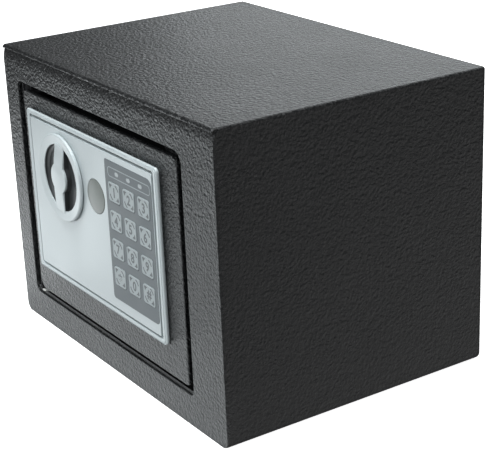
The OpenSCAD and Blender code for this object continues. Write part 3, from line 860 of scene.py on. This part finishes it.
def bar_mesh(name, top, bottom, spare, rounding):
    """The grip bar as a row of cross-sections along its length. Its face lies where top, a
    function of a place across and along the bar, says."""
    made = bmesh.new()
    reach, count = POCKET_RADIUS + 0.9 * MM, 90
    sections = []
    for i in range(count + 1):
        along = -reach + 2 * reach * i / count
        half = bar_half(along, spare)
        side = [(-half, bottom)]
        side += [(-half + rounding * (1 - math.cos(t)), rounding * (1 - math.sin(t)))
                 for t in quarter(5)]
        flat = half - rounding
        inner = [(flat * k / 6, 0.0) for k in range(-5, 6)]
        points = side + inner + [(-x, y) for x, y in reversed(side)]
        section = []
        for x, y in points:
            if y != bottom:
                y += top(x, along)
            section.append(made.verts.new(on_bar(x, y, along)))
        sections.append(section)
    bridge(made, sections)
    made.faces.new(sections[0])
    made.faces.new(sections[-1])
    return closed_mesh(name, made)


def make_knob():
    """A silver ring and bar in one skin, over a black dish."""
    boss_front, back = front_of("knob_face"), back_of("knob_face")
    radius = (rect_of("knob_face")[2] - rect_of("knob_face")[0]) / 2
    ring_front, bar_front = boss_front + 1.2 * MM, boss_front + 0.6 * MM
    skin, brim = bar_front + 1.3 * MM, ring_front + 0.7 * MM

    def face(across, along):
        """The bar's face, which rises over the boss and sinks a little towards the ring."""
        out = math.hypot(across, along)
        rise = smooth((BOSS_RADIUS + 1 * MM - out) / (8 * MM))
        sink = smooth((out - 8 * MM) / (12 * MM))
        return bar_front - 0.6 * MM * rise + (ring_front + 0.3 * MM - bar_front) * sink

    def core_face(across, along):
        """The black core's face, sunk below the silver one."""
        return face(across, along) + 0.7 * MM

    roll, lip, gap, foot = 1.0 * MM, 0.3 * MM, back - 0.5 * MM, radius - 0.8 * MM
    turns = quarter(8)
    profile = [(POCKET_RADIUS, back), (POCKET_RADIUS, brim + lip)]
    profile += [(POCKET_RADIUS + lip * (1 - math.cos(t)), brim + lip * (1 - math.sin(t)))
                for t in turns[1:]]
    profile += [(radius - roll + roll * math.sin(t), ring_front + roll * (1 - math.cos(t)))
                for t in turns]
    profile += [(radius, gap), (foot, gap), (foot, back), (POCKET_RADIUS, back)]
    ring = lathe("ring", KNOB, profile, steps=160)
    bar = bar_mesh("bar", face, skin, 0.0, 0.55 * MM)
    new_piece("knob_cap", join("knob_cap", [ring, bar]), "knob", "knob_silver", ["knob_face"])
    dish_back = back_of("knob_body")
    floor, bend = dish_back - 0.8 * MM, 1.6 * MM
    wall, collar = POCKET_RADIUS - 0.04 * MM, POCKET_RADIUS + 0.06 * MM
    profile = [(0, dish_back), (DISH_RADIUS, dish_back), (DISH_RADIUS, back), (collar, back)]
    profile += [(collar, brim + 0.7 * MM), (wall, brim + 0.6 * MM), (wall, floor - bend)]
    profile += [(wall - bend * (1 - math.cos(t)), floor - bend * (1 - math.sin(t)))
                for t in turns[1:]]
    profile += [(12 * MM, floor - 0.05 * MM), (0, floor - 0.05 * MM)]
    dish = lathe("dish", KNOB, profile, steps=128)
    core = bar_mesh("core", core_face, floor + 0.3 * MM, 0.3 * MM, 0.05 * MM)
    new_piece("knob_dish", join("knob_dish", [dish, core]), "knob", "knob_black", ["knob_body"])


def make_cap():
    """The keyhole cap: a shallow dome with a rounded rim."""
    front, back = front_of("key_cover"), back_of("key_cover")
    radius = (rect_of("key_cover")[2] - rect_of("key_cover")[0]) / 2
    crown, rim, steps = 0.55 * MM, 0.4 * MM, 12
    face, reach = front + crown, radius - rim
    dome = [reach * i / steps for i in range(steps + 1)]
    profile = [(r, face - crown * (1 - (r / reach) ** 2)) for r in dome]
    profile += [(reach + rim * math.sin(t), face + rim * (1 - math.cos(t)))
                for t in quarter(5)[1:]]
    profile += [(radius, back), (0, back)]
    new_piece("keyhole_cap", lathe("keyhole_cap", CAP, profile), "keyhole_cover", "cap_plastic",
              ["key_cover"])


# ---- inside of the door --------------------------------------------------------------------------


def make_cover_screws():
    """Pan heads with a cross recess."""
    back, head_radius, length = back_of("cover_screws"), 3 * MM, 12 * MM
    left, bottom, right, top = inset(rect_of("cover_screws"), head_radius)
    seat = back - 1.8 * MM
    cross = [(0, back), (-0.1 * MM, back - 0.6 * MM), (-0.3 * MM, back - 1.1 * MM)]
    places = [(left, bottom), (right, bottom), (left, top), (right, top)]
    for number, place in enumerate(places, 1):
        head = [(circle(place, head_radius, 40), edge(back, seat, 0.9 * MM)),
                (plus_sign(place, 1.6 * MM, 0.42 * MM), cross, "blind")]
        shank = [(circle(place, 1.45 * MM, 24), [(0, seat), (0, seat - length)])]
        mesh = join("screw", [solid("head", head), solid("shank", shank)])
        new_piece(f"cover_screw_{number}", mesh, "door", "zinc_steel",
                  ["cover_screws"] if number == 1 else ())


make_front_frame()
make_lip()
make_shell()
make_back_panel()
make_door()
make_bezel()
make_fascia_plate()
make_keypad_film()
for key_node, key_text in LABELS.items():
    make_key(key_node, key_text)
make_knob()
make_cap()
make_cover_screws()


# ---- floor, light and camera ---------------------------------------------------------------------


def make_floor():
    """A white floor that the camera sees, but that neither lights the safe nor mirrors in it."""
    bpy.ops.mesh.primitive_plane_add(size=12)
    floor = bpy.context.object
    floor.name = "floor"
    s = Shader("floor_white", {"Base Color": (0.9, 0.9, 0.9), "Roughness": 0.9})
    s.finish(Emission_Color=(1, 1, 1), Emission_Strength=0.95)
    floor.data.materials.append(s.material)
    floor.visible_glossy = False
    floor.visible_diffuse = False


def area_light(name, place, target, size, power, colour=(1, 1, 1)):
    """A rectangular light that faces a point. Its size is in metres and its power in watts."""
    data = bpy.data.lights.new(name, "AREA")
    data.shape = "RECTANGLE"
    data.size, data.size_y = size
    data.energy = power
    data.color = colour
    light = in_scene(name, data)
    light.location = place
    light.rotation_euler = (Vector(target) - Vector(place)).to_track_quat("-Z", "Y").to_euler()
    light.visible_camera = False
    return light


def card(name, left, front, right, back, height, radiance, colour=(1, 1, 1), diffuse=True):
    """A flat card of light that faces up, given as its edges and how bright it looks."""
    size = (right - left, back - front)
    power = radiance * math.pi * size[0] * size[1]
    x, y = (left + right) / 2, (front + back) / 2
    light = area_light(name, (x, y, height), (x, y, height + 1), size, power, colour)
    light.visible_diffuse = diffuse


def make_lights():
    """A key light, softer fills, and cards on the floor that show in reflections only. The cards
    reach right up to the cabinet's front and side, so that its lower edges mirror them too."""
    cool = (0.95, 1.0, 1.02)
    at_front, at_side, just_up = -0.0852, 0.1153, 0.0002
    area_light("front_key", (0.1, -1.8, 0.9), (0, 0, 0.08), (1.1, 1.1), 14, cool)
    area_light("top_front", (0.05, -0.36, 1.2), (0, -0.09, 0.1), (0.8, 0.45), 13, cool)
    area_light("right_fill", (1.25, -0.55, 0.8), (0, -0.05, 0.09), (0.9, 0.9), 3, cool)
    card("floor_bounce", -0.5, -0.38, 0.15, at_front, just_up, 1.45, cool, diffuse=False)
    card("floor_bounce_left", -0.42, -0.27, -0.14, at_front, 2 * just_up, 0.75, cool, diffuse=False)
    card("floor_bounce_right", at_side, -0.085, 0.9, 0.8, just_up, 0.42, diffuse=False)
    area_light("back_card", (-0.46, 1.05, 0.55), (0.22, 0.21, 0.21), (1.6, 1.0), 6, cool)
    area_light("top_soft", (0.0, 0.25, 1.3), (0, 0.05, 0.1), (1.0, 0.9), 3)
    world = bpy.data.worlds.new("studio")
    world.use_nodes = True
    world.node_tree.nodes["Background"].inputs["Color"].default_value = (0.96, 0.98, 1.0, 1)
    world.node_tree.nodes["Background"].inputs["Strength"].default_value = 0.14
    bpy.context.scene.world = world


def make_camera():
    """Seen from the front right and above, with a slight roll."""
    right = Vector((0.55557, 0.83050, -0.04003))
    up = Vector((-0.27220, 0.22716, 0.93504))
    back = Vector((0.78565, -0.50859, 0.35226))
    place = (0.6602, -0.4229, 0.3634)
    data = bpy.data.cameras.new("camera")
    data.lens = 106.53
    data.sensor_width = 36
    camera = in_scene("camera", data)
    axes = Matrix((right, up, back)).transposed()
    camera.matrix_world = Matrix.Translation(place) @ axes.to_4x4()
    bpy.context.scene.camera = camera


make_floor()
make_lights()
make_camera()
bpy.context.scene.view_settings.view_transform = "Standard"
